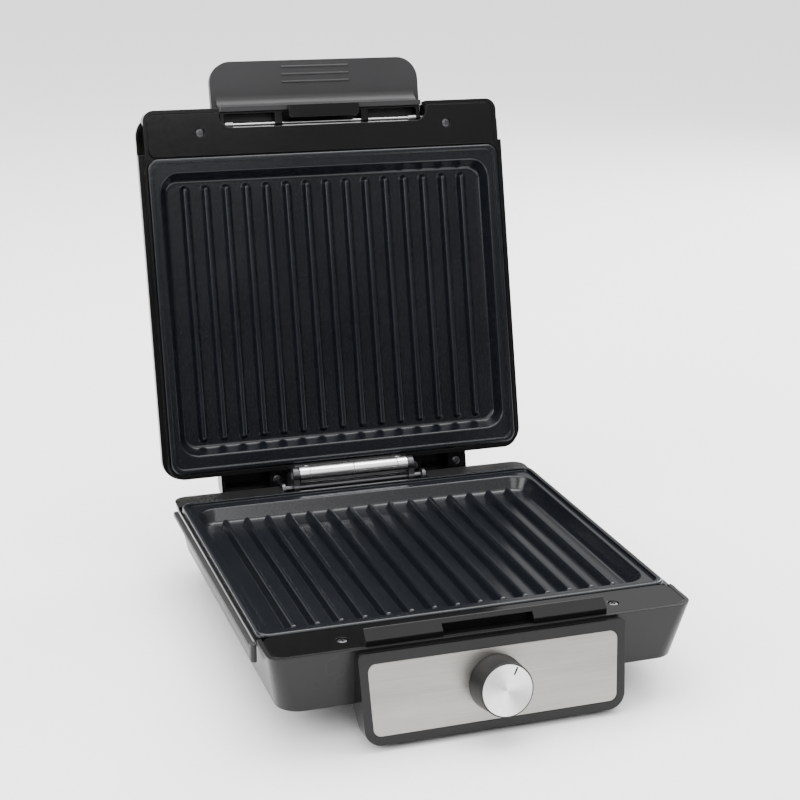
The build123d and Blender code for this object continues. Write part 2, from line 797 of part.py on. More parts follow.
def knob_body():
    """A hollow skirt with a bore for the shaft; its face is recessed for the metal cap."""
    base = panel_plane(KNOB_Z, KNOB_GAP)
    skirt = Solid.make_cone(KNOB_BASE_R, KNOB_TOP_R, KNOB_HEIGHT - KNOB_GAP)
    skirt = fillet(skirt.edges().group_by(Axis.Z)[-1], 0.6)
    skirt = skirt - Cylinder(
        KNOB_BASE_R - 2.2, KNOB_HEIGHT - KNOB_GAP - 3.0, align=(Align.CENTER, Align.CENTER, Align.MIN)
    )
    hub = Cylinder(
        SHAFT_R + 2.6, KNOB_HEIGHT - KNOB_GAP - 2.0, align=(Align.CENTER, Align.CENTER, Align.MIN)
    )
    skirt = skirt + Pos(0, 0, 1.0) * hub
    skirt = skirt - Cylinder(SHAFT_R, KNOB_HEIGHT - 4.0, align=(Align.CENTER, Align.CENTER, Align.MIN))
    top = KNOB_HEIGHT - KNOB_GAP
    skirt = skirt - Pos(0, 0, top - KNOB_FACE_THICK) * Cylinder(
        KNOB_FACE_R + 0.05, 5, align=(Align.CENTER, Align.CENTER, Align.MIN)
    )
    return base * skirt


def pointer_strip(radial_half):
    """The pointer's bar, lying along the face from near its edge."""
    return Rot(0, 0, -KNOB_ANGLE) * Pos(0, KNOB_FACE_R - 3.6, 0) * Box(
        2 * radial_half, 5.6, KNOB_FACE_THICK
    )


def knob_face():
    """The spun metal cap with a slot for the pointer."""
    disc = Cylinder(KNOB_FACE_R, KNOB_FACE_THICK) - pointer_strip(0.6)
    return panel_plane(KNOB_Z, KNOB_HEIGHT - KNOB_FACE_THICK / 2) * disc


def knob_pointer():
    """The dark pointer let into the cap."""
    strip = pointer_strip(0.5) & Cylinder(KNOB_FACE_R - 0.1, 5)
    return panel_plane(KNOB_Z, KNOB_HEIGHT - KNOB_FACE_THICK / 2) * strip


def thermostat_shaft():
    """The spindle that the knob turns."""
    length = KNOB_HEIGHT - 4.2 + KNOB_GAP + PANEL_WALL + 6.0
    spindle = Cylinder(SHAFT_R, length, align=(Align.CENTER, Align.CENTER, Align.MAX))
    return panel_plane(KNOB_Z, KNOB_HEIGHT - 4.0) * spindle


def thermostat_body():
    """The thermostat behind the panel, with its threaded neck bored for the spindle."""
    back = -PANEL_WALL
    neck = Cylinder(
        SHAFT_R + 1.9, PANEL_WALL + FASCIA_THICK - 0.9, align=(Align.CENTER, Align.CENTER, Align.MAX)
    )
    can = Pos(0, 0, back - 0.05) * Cylinder(
        THERMOSTAT_R, THERMOSTAT_DEPTH, align=(Align.CENTER, Align.CENTER, Align.MAX)
    )
    tabs = Pos(0, 0, back - THERMOSTAT_DEPTH - 3) * (
        Pos(-7, 0, 0) * Box(0.8, 6, 8) + Pos(7, 0, 0) * Box(0.8, 6, 8)
    )
    neck_up = Pos(0, 0, -0.2) * neck
    body = can + tabs + neck_up
    body = body - Pos(0, 0, 1) * Cylinder(
        SHAFT_R + RUNNING_FIT, 14, align=(Align.CENTER, Align.CENTER, Align.MAX)
    )
    return panel_plane(KNOB_Z, 0) * body


# ----------------------------------------------------------------------- hinge


def lid_open(shape):
    """Swings a lid piece from shut to open about the hinge pin."""
    axis = Axis((0, hinge_y, hinge_z), (1, 0, 0))
    return shape.rotate(axis, -LID_OPEN)


def hinge_pin():
    """The pin that the lid turns on."""
    reach = NOTCH_HALF - PIN_END_GAP
    return bar_x(-reach, reach, hinge_y, hinge_z, PIN_R)


def hinge_bracket():
    """The right-hand steel bracket: an ear for the pin and a foot on the notch's floor."""
    x1 = NOTCH_HALF - 0.05
    x0 = x1 - BRACKET_THICK
    ear = bar_x(x0, x1, hinge_y - 1.0, hinge_z, PIN_R + 2.8)
    leg = block(x0, x1, hinge_y - 6.8, hinge_y + 2.0, -NOTCH_DEPTH, hinge_z)
    return ear + leg - bar_x(x0 - 1, x1 + 1, hinge_y, hinge_z, PIN_R + RUNNING_FIT)


def tube_centre_shut():
    """Where the hinge tube lies with the lid shut."""
    return swing(half_d + TUBE_BACK, TUBE_RISE, LID_OPEN)


def hinge_arm():
    """The right-hand arm: an eye on the pin, a boss for the tube and a pad on the hinge block."""
    ty, tz = tube_centre_shut()
    x0, x1 = ARM_INSIDE, ARM_INSIDE + ARM_THICK
    pad_z = CLOSED_GAP + FRAME_HEIGHT + ARM_SLOT
    web = side_profile(
        [
            (ty - 2.0, tz - EYE_R + 1.0),
            (hinge_y + 1.0, hinge_z - EYE_R + 0.4),
            (hinge_y + EYE_R - 1.5, hinge_z + 3.0),
            (hinge_y + 1.5, pad_z),
            (ty + 1.0, pad_z),
            (ty - 3.0, tz + 5.0),
        ],
        100,
    ) & block(x0, x1, 0, 300, -100, 100)
    arm = web + bar_x(x0, x1, hinge_y, hinge_z, EYE_R) + bar_x(x0, x1, ty, tz, EYE_R)
    arm = arm - bar_x(x0 - 1, x1 + 1, hinge_y, hinge_z, PIN_R + RUNNING_FIT)
    return arm - bar_x(x0 - 1, x1 + 1, ty, tz, TIE_R)


def tie_rod():
    """The rod that ties the two arms together inside the hinge tube."""
    ty, tz = tube_centre_shut()
    reach = ARM_INSIDE + ARM_THICK
    return bar_x(-reach, reach, ty, tz, TIE_R)


def hinge_tube():
    """The right-hand half of the bright tube over the tie rod."""
    ty, tz = tube_centre_shut()
    return bar_x(0.2, TUBE_HALF, ty, tz, TUBE_R) - bar_x(-1, TUBE_HALF + 1, ty, tz, TUBE_R - TUBE_WALL)


def hinge_collar():
    """The right-hand collar, notched on its inner edge."""
    ty, tz = tube_centre_shut()
    x0 = TUBE_HALF + COLLAR_GAP
    x1 = x0 + COLLAR_LENGTH
    collar = bar_x(x0, x1, ty, tz, COLLAR_R) - bar_x(x0 - 1, x1 + 1, ty, tz, TIE_R + 0.1)
    return collar - block(
        x0 - 1, x0 + 3.2, ty - 3.0, ty + 1.0, tz + 2, tz + 12
    ) - block(x0 - 1, x0 + 3.2, ty - 12, ty - 4, tz - 3, tz + 1)


# ------------------------------------------------------------------------- lid


def lid_outline(x_half, y0, y1, z, corner):
    """A lid outline at height z above the closed rim plane."""
    return outline(x_half, y0, y1, z + CLOSED_GAP, corner)


def lid_slab(x_half, y0, y1, z0, z1, corner):
    """A lid plate with rounded corners, heights above the closed rim plane."""
    return slab(x_half, y0, y1, z0 + CLOSED_GAP, z1 + CLOSED_GAP, corner)


def lid_block(x0, x1, y0, y1, z0, z1):
    """A lid box, heights above the closed rim plane."""
    return block(x0, x1, y0, y1, z0 + CLOSED_GAP, z1 + CLOSED_GAP)


def upside(shape):
    """Turns a lower piece over for the lid, across the closed gap."""
    return Pos(0, 0, CLOSED_GAP) * mirror(shape, Plane.XY)


def recess(x_half, y_floor, z0, z1, corner):
    """The gap in the lid's front where the handle turns and the latch bar enters."""
    return lid_slab(x_half, -lid_front - 30, y_floor, z0, z1, corner)


def lid_frame():
    """The glossy inner frame of the lid: a ring around the plate, with rails and a front deck seat."""
    rail_front = -half_d - 4.0
    body = lid_slab(
        rail_half_width, rail_front - 20, half_d + LID_BACK, seat_drop - 0.5, FRAME_HEIGHT, LID_BACK_CORNER
    )
    body = body - lid_block(-200, 200, rail_front - 40, rail_front, -5, FRAME_HEIGHT + 5)
    nose = lid_slab(base_half_width - 1.0, -lid_front, half_d, DECK_DROP, FRAME_HEIGHT, LID_CORNER)
    heel = lid_slab(
        base_half_width, -half_d, half_d + LID_BACK, DECK_DROP, FRAME_HEIGHT, LID_BACK_CORNER - 3
    )
    body = body + nose + heel
    hollow = lid_slab(
        rail_half_width - SHELL, -lid_front + SHELL, half_d + LID_BACK - SHELL, seat_drop + SHELL, 50, 10
    )
    front_keep = lid_slab(
        base_half_width - 1.0 - SHELL, -lid_front + SHELL, half_d, seat_drop + SHELL, 50, 7
    )
    rear_keep = lid_block(-200, 200, -half_d, 300, 0, 60)
    body = body - (hollow & rear_keep) - front_keep
    body = body - lid_slab(half_w + 0.5, -half_d - 0.5, half_d + 0.5, -5, seat_drop, PLATE_CORNER + 0.5)
    body = body - lid_slab(half_w - RIM_BEAD - 4, -half_d + RIM_BEAD + 4, half_d - RIM_BEAD - 6, -5, 50, 8)
    deck_half = base_half_width - 1.0 - DECK_LIP
    body = body - lid_slab(deck_half, -lid_front + DECK_LIP, -half_d + 1.0, -5, DECK_DROP + DECK_THICK, 6)
    cut = recess(RECESS_HALF, -recess_floor, -5, 60, SQUARE_CORNER)
    cheek = recess(
        RECESS_HALF + SHELL,
        -recess_floor + SHELL,
        DECK_DROP + DECK_THICK,
        HANDLE_PIN_Z + 4.5,
        SQUARE_CORNER,
    )
    cheek = cheek & lid_block(-200, 200, -lid_front + 2.0, 0, 0, 60)
    body = body + cheek - cut
    for x in (-LID_SCREW_X, LID_SCREW_X):
        boss = post(x, -deck_screw_y, CLOSED_GAP + DECK_DROP + DECK_THICK, CLOSED_GAP + 24, 4.5)
        body = body + boss - post(x, -deck_screw_y, 0, CLOSED_GAP + 22, SCREW_R)
    body = body - bar_x(
        -RECESS_HALF - SHELL - 1,
        RECESS_HALF + SHELL + 1,
        -handle_pin_y,
        CLOSED_GAP + HANDLE_PIN_Z,
        HANDLE_PIN_R,
    )
    return body


def lid_deck():
    """The glossy insert in front of the upper plate, with the gap for the handle."""
    deck_half = base_half_width - 1.0 - DECK_LIP - DECK_SEAM
    plate = lid_slab(
        deck_half, -lid_front + DECK_LIP + DECK_SEAM, -half_d - 1.2, DECK_DROP, DECK_DROP + DECK_THICK, 6
    )
    plate = plate - recess(RECESS_HALF + 0.3, -recess_floor + 0.3, -5, 60, RECESS_CORNER)
    for x in (-LID_SCREW_X, LID_SCREW_X):
        plate = plate - post(x, -deck_screw_y, -10, 20, SCREW_R + 0.2)
        plate = plate - post(x, -deck_screw_y, -5, CLOSED_GAP + DECK_DROP + 1.3, SCREW_HEAD_R + 0.3)
    return plate


def lid_cover():
    """The domed steel cover on the back of the lid, cut out for the handle and the hinge block."""
    z0 = FRAME_HEIGHT + 0.05
    z1 = LID_DEPTH
    front, back = -lid_front + 2.0, half_d + LID_BACK
    low = lid_outline(rail_half_width, front, back, z0, COVER_CORNER)
    mid = lid_outline(rail_half_width - 3.0, front + 3.0, back - 3.0, z1 - 10, COVER_CORNER)
    top = lid_outline(
        rail_half_width - COVER_INSET, front + COVER_INSET, back - COVER_INSET, z1, COVER_CORNER + 6
    )
    outer = loft([low, mid]) + loft([mid, top])
    w = COVER_WALL
    low_in = lid_outline(rail_half_width - w, front + w, back - w, z0, COVER_CORNER - w)
    mid_in = lid_outline(
        rail_half_width - 3.0 - w, front + 3.0 + w, back - 3.0 - w, z1 - 10 - w * 0.4, COVER_CORNER - w
    )
    top_in = lid_outline(
        rail_half_width - COVER_INSET - w,
        front + COVER_INSET + w,
        back - COVER_INSET - w,
        z1 - w,
        COVER_CORNER + 6 - w,
    )
    inner = loft([low_in, mid_in]) + loft([mid_in, top_in])
    cover = outer - inner
    cover = cover - recess(handle_half + 1.5, -recess_floor + 6.0, -5, 60, 6)
    return cover - lid_block(-block_half - 0.2, block_half + 0.2, half_d - 6.2, 300, 0, BLOCK_TOP + 0.2)


def hinge_block():
    """The block across the lid's back that the arms bolt into, open on its underside."""
    z0 = FRAME_HEIGHT + 0.1
    y0, y1 = half_d - 6.0, half_d + BLOCK_BACK
    body = lid_block(-block_half, block_half, y0, y1, z0, BLOCK_TOP)
    body = fillet(body.edges().filter_by(Axis.X).group_by(Axis.Y)[-1].group_by(Axis.Z)[-1], 8.0)
    body = fillet(body.edges().filter_by(Axis.Z).group_by(Axis.Y)[-1], 4.0)
    pocket_y0 = half_d + LID_BACK + 1.5
    for x0, x1 in ((-block_half + 3, -66.0), (-43.0, 43.0), (66.0, block_half - 16.0)):
        body = body - lid_block(x0, x1, pocket_y0, y1 - BLOCK_WALL, z0 - 1, BLOCK_TOP - BLOCK_WALL)
    for x in block_screw_places():
        boss = post(x, block_screw_y(), CLOSED_GAP + z0 + 1.2, CLOSED_GAP + BLOCK_TOP - 1, 4.8)
        body = body + boss - post(x, block_screw_y(), CLOSED_GAP + z0 - 1, CLOSED_GAP + z0 + 10, SCREW_R)
        body = body - post(
            x, block_screw_y(), CLOSED_GAP + z0 - 1, CLOSED_GAP + z0 + 1.2, SCREW_HEAD_R + 0.4
        )
    for side in (-1, 1):
        x = side * (ARM_INSIDE + ARM_THICK / 2)
        body = body - lid_block(
            x - ARM_THICK / 2 - 0.1,
            x + ARM_THICK / 2 + 0.1,
            half_d,
            y1 + 1.0,
            z0 - 1,
            FRAME_HEIGHT + ARM_SLOT,
        )
    return body


def block_screw_y():
    """The block's screws stand in a row behind the frame."""
    return half_d + LID_BACK + 8.0


def block_screw_places():
    """Three screws hold the block; the fourth corner is left free for the heater leads."""
    return (-60.0, 60.0, 98.0)


def block_screws():
    """Pan-head screws in the block's underside."""
    group = []
    z = CLOSED_GAP + FRAME_HEIGHT + 1.2
    for x in block_screw_places():
        head = Pos(x, block_screw_y(), z) * mirror(phillips_head(SCREW_HEAD_R, 1.8), Plane.XY)
        group.append(head + post(x, block_screw_y(), z, z + 8, SCREW_R - RUNNING_FIT))
    return group


# ---------------------------------------------------------------------- handle


def handle():
    """The handle's moulding: a grip plate with rounded corners, a cove, a lip and grip ridges."""
    low, high = GRIP_LOW, GRIP_LOW + GRIP_THICK
    back = -handle_pin_y + 1.0
    lip_back = -lip_front + LIP_THICK
    plate = lid_slab(handle_half, -grip_front, back, low, high, 3)
    plate = lid_slab(handle_half, -grip_front, back + 40, low, high, GRIP_CORNER) & plate
    lip = lid_block(-lip_half, lip_half, -lip_front, lip_back, LIP_LOW, low + 1)
    cove_r = 10.0
    cove = lid_block(-lip_half, lip_half, -lip_front - cove_r, -lip_front + 1, low - cove_r, low + 1)
    cove = cove - bar_x(-200, 200, -lip_front - cove_r, CLOSED_GAP + low - cove_r, cove_r)
    body = plate + lip + cove
    for i in range(3):
        y = -lip_front - cove_r - 7.0 - (i + 0.5) * RIDGE_PITCH
        body = body + bar_x(-RIDGE_HALF, RIDGE_HALF, y, CLOSED_GAP + low + 0.3, 1.0)
    return body


def latch_hook():
    """The hook and its carrier: a tooth for the latch bar's slot, a rail behind the lip and webs on the pin."""
    lip_back = -lip_front + LIP_THICK
    arm = lid_block(
        -HOOK_HALF,
        HOOK_HALF,
        lip_back + 0.05,
        lip_back + 0.05 + HOOK_THICK * 0.5,
        LIP_LOW + 1.0,
        GRIP_LOW - 4,
    )
    toe = lid_block(
        -HOOK_HALF,
        HOOK_HALF,
        -lip_front + 0.6,
        lip_back + 0.05 + HOOK_THICK * 0.5,
        HOOK_LOW,
        LIP_LOW - 0.05,
    )
    link = lid_block(
        -HOOK_HALF, HOOK_HALF, lip_back + 0.05, lip_back + 0.05 + HOOK_THICK * 0.5, HOOK_LOW, LIP_LOW + 2
    )
    tooth = lid_block(-HOOK_HALF, HOOK_HALF, lip_back, -hook_reach, HOOK_LOW, HOOK_LOW + HOOK_THICK)
    wedge = tooth.edges().filter_by(Axis.Z).group_by(Axis.Y)[-1]
    tooth = chamfer(wedge, 2.4)
    seat_y = lip_back + SKIN_GAP
    rail = lid_block(-lip_half, lip_half, seat_y, seat_y + HOOK_THICK * 0.5, LIP_LOW + 4.0, GRIP_LOW - 1.0)
    carrier = arm + toe + link + tooth + rail
    y_pin, z_pin, high = -handle_pin_y, HANDLE_PIN_Z, GRIP_LOW - SKIN_GAP
    for x0, x1 in ((-lip_half, -lip_half + 3.0), (lip_half - 3.0, lip_half), (-40.0, -34.0), (34.0, 40.0)):
        web = lid_block(x0, x1, seat_y, y_pin, z_pin - 2.7, high)
        upright = lid_block(x0, x1, y_pin - 4, y_pin + 0.6, z_pin, high)
        carrier = carrier + web + upright + bar_x(
            x0, x1, y_pin, CLOSED_GAP + z_pin, HANDLE_PIN_R + PIN_BOSS_WALL
        )
    return carrier - bar_x(-200, 200, y_pin, CLOSED_GAP + z_pin, HANDLE_PIN_R + RUNNING_FIT)


def handle_pin():
    """The pin across the lid's recess that the handle turns on."""
    return bar_x(
        -RECESS_HALF - SHELL,
        RECESS_HALF + SHELL,
        -handle_pin_y,
        CLOSED_GAP + HANDLE_PIN_Z,
        HANDLE_PIN_R - 0.02,
    )


def handle_spring():
    """The right-hand return spring, wound on the pin inside the cheek."""
    x1 = lip_half - 3.3
    y, z = -handle_pin_y, CLOSED_GAP + HANDLE_PIN_Z
    return bar_x(x1 - 7.0, x1, y, z, HANDLE_PIN_R + 1.1) - bar_x(
        x1 - 8.0, x1 + 1, y, z, HANDLE_PIN_R + 0.15
    )


# ---------------------------------------------------------- electrics in the base


def terminal_block():
    """A ceramic block where the cord's wires join the heater leads."""
    x, y = gland_x(), base_back - 15.5
    body = block(x - 12, x + 12, y - 7, y + 7, wall_foot_z - 0.05, wall_foot_z + 10)
    for dx in (-6, 6):
        body = body - bar_y(x + dx, y - 8, y + 8, wall_foot_z + 6, 1.6)
    return body


def thermal_fuse():
    """The one-shot fuse clipped under the lower reflector."""
    z = -REFLECTOR_DROP
    return block(-8, 8, 28, 32.4, z - 4.4, z) + bar_x(-20, 20, 30.2, z - 2.2, 0.6)


# -------------------------------------------------------------------- assembly


def build_nodes():
    """Every piece by name, in the machine's own frame."""
    plate = grill_plate()
    pan = reflector()
    tube = element()
    nodes = {
        "base_housing": base_housing() + deck_lip(),
        "bottom_cover": bottom_cover(),
        "bottom_cover_screws": cover_screws(),
        "rubber_feet": rubber_feet(),
        "foot_screws": foot_screws(),
        "base_deck": base_deck(),
        "base_deck_screws": deck_screws(DECK_SCREW_X),
        "latch_bar": latch_bar(),
        "base_rail_right": base_rail(),
        "base_rail_left": mirrored(base_rail()),
        "lower_grill_plate": plate,
        "lower_heating_element": tube,
        "lower_reflector": pan,
        "lower_plate_screws": plate_screws(),
        "panel_bezel": panel_bezel(),
        "steel_fascia": steel_fascia(),
        "knob_body": knob_body(),
        "knob_face": knob_face(),
        "knob_pointer": knob_pointer(),
        "thermostat_shaft": thermostat_shaft(),
        "thermostat_body": thermostat_body(),
        "terminal_block": terminal_block(),
        "thermal_fuse": thermal_fuse(),
        "cord_gland": cord_gland(),
        "hinge_pin": hinge_pin(),
        "hinge_bracket_right": hinge_bracket(),
        "hinge_bracket_left": mirrored(hinge_bracket()),
    }
    shut = {
        "upper_grill_plate": upside(plate),
        "upper_heating_element": upside(tube),
        "upper_reflector": upside(pan),
        "upper_plate_screws": [upside(s) for s in plate_screws()],
        "lid_frame": lid_frame(),
        "lid_deck": lid_deck(),
        "lid_deck_screws": [upside(s) for s in deck_screws(LID_SCREW_X)],
        "lid_cover": lid_cover(),
        "hinge_block": hinge_block(),
        "hinge_block_screws": block_screws(),
        "hinge_arm_right": hinge_arm(),
        "hinge_arm_left": mirrored(hinge_arm()),
        "hinge_tie_rod": tie_rod(),
        "hinge_tube_right": hinge_tube(),
        "hinge_tube_left": mirrored(hinge_tube()),
        "hinge_collar_right": hinge_collar(),
        "hinge_collar_left": mirrored(hinge_collar()),
        "handle": handle(),
        "latch_hook": latch_hook(),
        "handle_pin": handle_pin(),
        "handle_spring_right": handle_spring(),
        "handle_spring_left": mirrored(handle_spring()),
    }
    for name, shape in shut.items():
        nodes[name] = [lid_open(s) for s in shape] if isinstance(shape, list) else lid_open(shape)
    return nodes


def middle_y(nodes):
    """Half-way between the knob's front and the open lid's handle at the back."""
    front = nodes["knob_body"].bounding_box().min.Y
    back = nodes["handle"].bounding_box().max.Y
    return (front + back) / 2


def main():
    """Stands the press on z = 0, centres it front to back and writes one file per piece."""
    os.makedirs("parts", exist_ok=True)
    nodes = build_nodes()
    lift = Pos(0, -middle_y(nodes), FLOOR_GAP)
    for name, shape in nodes.items():
        pieces = shape if isinstance(shape, list) else [shape]
        solids = [lift * solid for piece in pieces for solid in piece.solids()]
        export_step(Compound(solids), f"parts/{name}.step")


if __name__ == "__main__":
    main()
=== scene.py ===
import json
import math

import bmesh
import bpy
from mathutils import Matrix, Vector


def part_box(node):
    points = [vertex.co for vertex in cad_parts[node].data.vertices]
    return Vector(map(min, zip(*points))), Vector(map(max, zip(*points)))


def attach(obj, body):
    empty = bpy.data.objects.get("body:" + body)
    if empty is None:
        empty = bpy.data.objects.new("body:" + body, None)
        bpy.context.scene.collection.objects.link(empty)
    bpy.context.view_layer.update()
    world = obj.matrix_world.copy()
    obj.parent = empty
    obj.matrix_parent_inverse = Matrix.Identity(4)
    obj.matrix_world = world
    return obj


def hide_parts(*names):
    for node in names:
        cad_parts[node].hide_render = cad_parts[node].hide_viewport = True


bl_info = {
    "name": "Panini press",
    "version": (1, 0, 0),
    "blender": (4, 5, 0),
    "location": "View3D > Sidebar > Panini press",
    "description": "Finishes and details for a ribbed panini press",
    "category": "Object",
}

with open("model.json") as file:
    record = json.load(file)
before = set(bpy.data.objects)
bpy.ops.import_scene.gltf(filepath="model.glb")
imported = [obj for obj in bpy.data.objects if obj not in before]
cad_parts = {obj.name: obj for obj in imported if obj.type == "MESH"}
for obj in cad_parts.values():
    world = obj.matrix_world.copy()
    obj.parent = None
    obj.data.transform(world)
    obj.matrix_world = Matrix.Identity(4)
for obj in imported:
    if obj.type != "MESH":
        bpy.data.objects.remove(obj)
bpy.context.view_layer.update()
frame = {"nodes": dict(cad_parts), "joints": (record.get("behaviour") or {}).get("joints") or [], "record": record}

BODIES = frame["record"]["behaviour"]["bodies"]
BODY_OF = {node: body for body, nodes in BODIES.items() for node in nodes}
JOINT = {joint["name"]: joint for joint in frame["joints"]}
KNOB_AXIS = -Vector(JOINT["knob_turn"]["axis"])
LID_ANGLE = math.radians(JOINT["lid_hinge"]["range_deg"][1])

# Points closer than MERGE are one; faces flatter than FLAT are joined; edges over SHARP stay crisp.
MERGE = 1e-6
FLAT = math.radians(0.6)
SHARP = math.radians(32)

# Where the painted highlight wedges on the knob's cap start, and the dimmest share of its colour in the painted
# shade between them.
PAINTED_SHEEN_TURN = -1.57
PAINTED_SHADE_DIM = 0.55
CAP_EDGE = 0.0001

# How strongly each smooth surface mirrors its surroundings.
MOULDED_GLOSS = 0.22
POLISHED_GLOSS = 0.24
COATING_GLOSS = 0.36

# Shares of a screw head's radius or height, and the parts of its drive.
HEAD_HEIGHT = 0.42
HEAD_RIM = 0.35
HEAD_DOME = 0.86
HEAD_TIP = 0.0001
CROSS_WIDTH = 0.24
CROSS_DEPTH = 1.3
HEAD_STEPS = 40
DOME_STEPS = 6
TWIST_SEED = 4

# The studio: sky strength by height, floor, lamps as name, place, size and watts, and the camera.
SKY_LOW = 0.15
SKY_HIGH = 2.5
SKY_START = 0.20
SKY_END = 0.75
FLOOR_RADIUS = 30.0
FLOOR_SIDES = 96
LAMP_AIM = Vector((0, 0, 0.1))
LAMPS = (
    ("overhead_softbox", (0.2, 0.47, 2.0), (2.0, 1.4), 64),
    ("left_softbox", (-1.8, -0.53, 1.1), (1.2, 1.2), 30),
    ("right_softbox", (1.6, 1.17, 1.2), (0.5, 1.4), 38),
    ("front_softbox", (-0.2, -2.03, 1.6), (1.6, 0.7), 14),
)
CAMERA_BACK = Vector((-0.3063, -0.9022, 0.3037)).normalized()
CAMERA_DISTANCE = 1.2467
CAMERA_AIM_X = -0.0095
CAMERA_AIM_RISE = 0.1116
CAMERA_ROLL = math.radians(0.54)
CAMERA_LENS = 76.8
CAMERA_SENSOR = 36.0


class PressColours(bpy.types.PropertyGroup):
    """The colours of the press."""

    coating: bpy.props.FloatVectorProperty(
        name="Coating",
        description="Non-stick coating of both plates",
        subtype="COLOR",
        default=(0.003, 0.0036, 0.005),
    )
    speck: bpy.props.FloatVectorProperty(
        name="Coating speck",
        description="Fine specks in the coating",
        subtype="COLOR",
        default=(0.022, 0.027, 0.036),
    )
    shell: bpy.props.FloatVectorProperty(
        name="Shell",
        description="Satin plastic of the housing",
        subtype="COLOR",
        default=(0.011, 0.0108, 0.0108),
    )
    grip: bpy.props.FloatVectorProperty(
        name="Grip",
        description="Satin plastic of the handle",
        subtype="COLOR",
        default=(0.024, 0.024, 0.025),
    )
    gloss: bpy.props.FloatVectorProperty(
        name="Gloss black",
        description="Polished plastic of the decks and bezel",
        subtype="COLOR",
        default=(0.003,) * 3,
    )
    steel: bpy.props.FloatVectorProperty(
        name="Steel",
        description="Brushed stainless steel",
        subtype="COLOR",
        default=(0.31, 0.298, 0.278),
    )
    aluminium: bpy.props.FloatVectorProperty(
        name="Aluminium",
        description="Spun aluminium of the knob's cap",
        subtype="COLOR",
        default=(0.86, 0.86, 0.87),
    )
    floor: bpy.props.FloatVectorProperty(
        name="Floor",
        description="Pale studio floor",
        subtype="COLOR",
        default=(0.97, 0.97, 0.97),
    )


class PressSizes(bpy.types.PropertyGroup):
    """The small sizes that the finish adds."""

    edge: bpy.props.FloatProperty(
        name="Moulded edge",
        description="Radius of a moulded edge",
        unit="LENGTH",
        default=0.0007,
        precision=5,
    )
    fine_edge: bpy.props.FloatProperty(
        name="Fine edge",
        description="Radius of a metal or trim edge",
        unit="LENGTH",
        default=0.0003,
        precision=5,
    )
    screw_head: bpy.props.FloatProperty(
        name="Screw head",
        description="Radius of a screw's pan head",
        unit="LENGTH",
        default=0.0035,
        precision=5,
    )
    cross: bpy.props.FloatProperty(
        name="Screw cross",
        description="Length of one bar of the crossed recess",
        unit="LENGTH",
        default=0.0042,
    )


# ------------------------------------------------------------------- materials


def node_tree(name):
    """A fresh material with a principled shader."""
    material = bpy.data.materials.new(name)
    material.use_nodes = True
    nodes = material.node_tree.nodes
    shader = nodes["Principled BSDF"]
    return material, nodes, material.node_tree.links, shader


def object_pattern(nodes, links, scale, turn=(0, 0, 0), centre=(0, 0, 0)):
    """Object coordinates, moved to centre, turned and stretched."""
    place = nodes.new("ShaderNodeTexCoord")
    shift = nodes.new("ShaderNodeVectorMath")
    shift.operation = "SUBTRACT"
    shift.inputs[1].default_value = centre
    mapping = nodes.new("ShaderNodeMapping")
    mapping.inputs["Rotation"].default_value = turn
    mapping.inputs["Scale"].default_value = scale
    links.new(place.outputs["Object"], shift.inputs[0])
    links.new(shift.outputs[0], mapping.inputs["Vector"])
    return mapping.outputs[0]


def noise(nodes, links, vector, scale, detail=3.0, rough=0.55):
    """Fractal noise on a vector."""
    texture = nodes.new("ShaderNodeTexNoise")
    texture.inputs["Scale"].default_value = scale
    texture.inputs["Detail"].default_value = detail
    texture.inputs["Roughness"].default_value = rough
    links.new(vector, texture.inputs["Vector"])
    return texture.outputs["Fac"]


def spread(nodes, links, value, low, high, start=0.3, end=0.7):
    """A value mapped to low..high."""
    ramp = nodes.new("ShaderNodeMapRange")
    ramp.inputs["From Min"].default_value = start
    ramp.inputs["From Max"].default_value = end
    ramp.inputs["To Min"].default_value = low
    ramp.inputs["To Max"].default_value = high
    links.new(value, ramp.inputs["Value"])
    return ramp.outputs[0]


def blend_colours(nodes, links, factor, first, second):
    """A mix of two colours."""
    mix = nodes.new("ShaderNodeMix")
    mix.data_type = "RGBA"
    mix.inputs["A"].default_value = (*first, 1)
    mix.inputs["B"].default_value = (*second, 1)
    links.new(factor, mix.inputs["Factor"])
    return mix.outputs["Result"]


def relief(nodes, links, shader, height, depth, edge=0.0):
    """Bump from height, over edges softened by edge."""
    bump = nodes.new("ShaderNodeBump")
    bump.inputs["Strength"].default_value = 1.0
    bump.inputs["Distance"].default_value = depth
    links.new(height, bump.inputs["Height"])
    if edge:
        soft = nodes.new("ShaderNodeBevel")
        soft.samples = 6
        soft.inputs["Radius"].default_value = edge
        links.new(soft.outputs[0], bump.inputs["Normal"])
    links.new(bump.outputs[0], shader.inputs["Normal"])


def shade(colour, factor):
    """A colour made lighter or darker."""
    return tuple(min(1.0, c * factor) for c in colour)


def moulded_plastic(name, colour, rough, grain, depth, edge):
    """Moulded plastic: spark-eroded grain, faint mottling and handled patches."""
    material, nodes, links, shader = node_tree(name)
    vector = object_pattern(nodes, links, (1, 1, 1))
    fine = noise(nodes, links, vector, grain, 2.0)
    broad = noise(nodes, links, vector, 14.0, 4.0)
    tint = blend_colours(nodes, links, broad, shade(colour, 0.88), shade(colour, 1.14))
    links.new(tint, shader.inputs["Base Color"])
    links.new(spread(nodes, links, broad, rough * 0.86, rough * 1.16), shader.inputs["Roughness"])
    shader.inputs["Specular IOR Level"].default_value = MOULDED_GLOSS
    relief(nodes, links, shader, fine, depth, edge)
    return material


